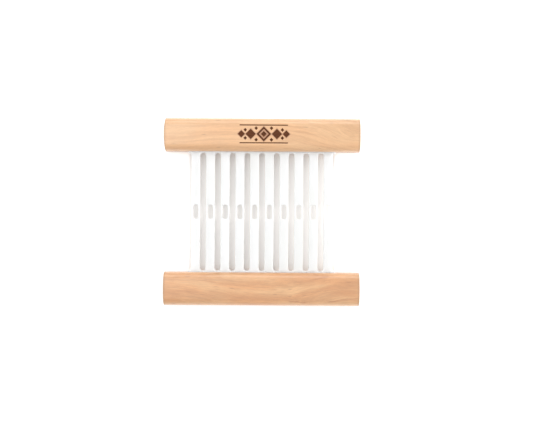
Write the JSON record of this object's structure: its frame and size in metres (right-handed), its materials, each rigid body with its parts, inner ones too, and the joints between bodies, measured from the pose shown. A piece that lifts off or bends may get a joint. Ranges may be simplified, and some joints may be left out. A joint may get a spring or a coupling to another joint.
{
  "type": "rigid heddle",
  "caption": "Small rigid heddle for weaving bands: two round-edged wooden rails joined by a white plastic insert of slots and eyes.",
  "frame": {"origin": "centre of the footprint, on the plane that the backs of the two rails rest on", "axes": "+X along the rails, +Y from the lower rail to the upper rail, +Z through the thickness towards the decorated front"},
  "size_m": [0.135, 0.1292, 0.013],
  "materials": {
    "pale_wood": "sanded and lightly sealed, satin",
    "warm_wood": "sanded and lightly sealed, satin",
    "white_nylon": "moulded, satin"
  },
  "bodies": {
    "root": {"upper_rail": "pale_wood", "lower_rail": "warm_wood", "heddle_insert": "white_nylon"}
  },
  "joints": []
}
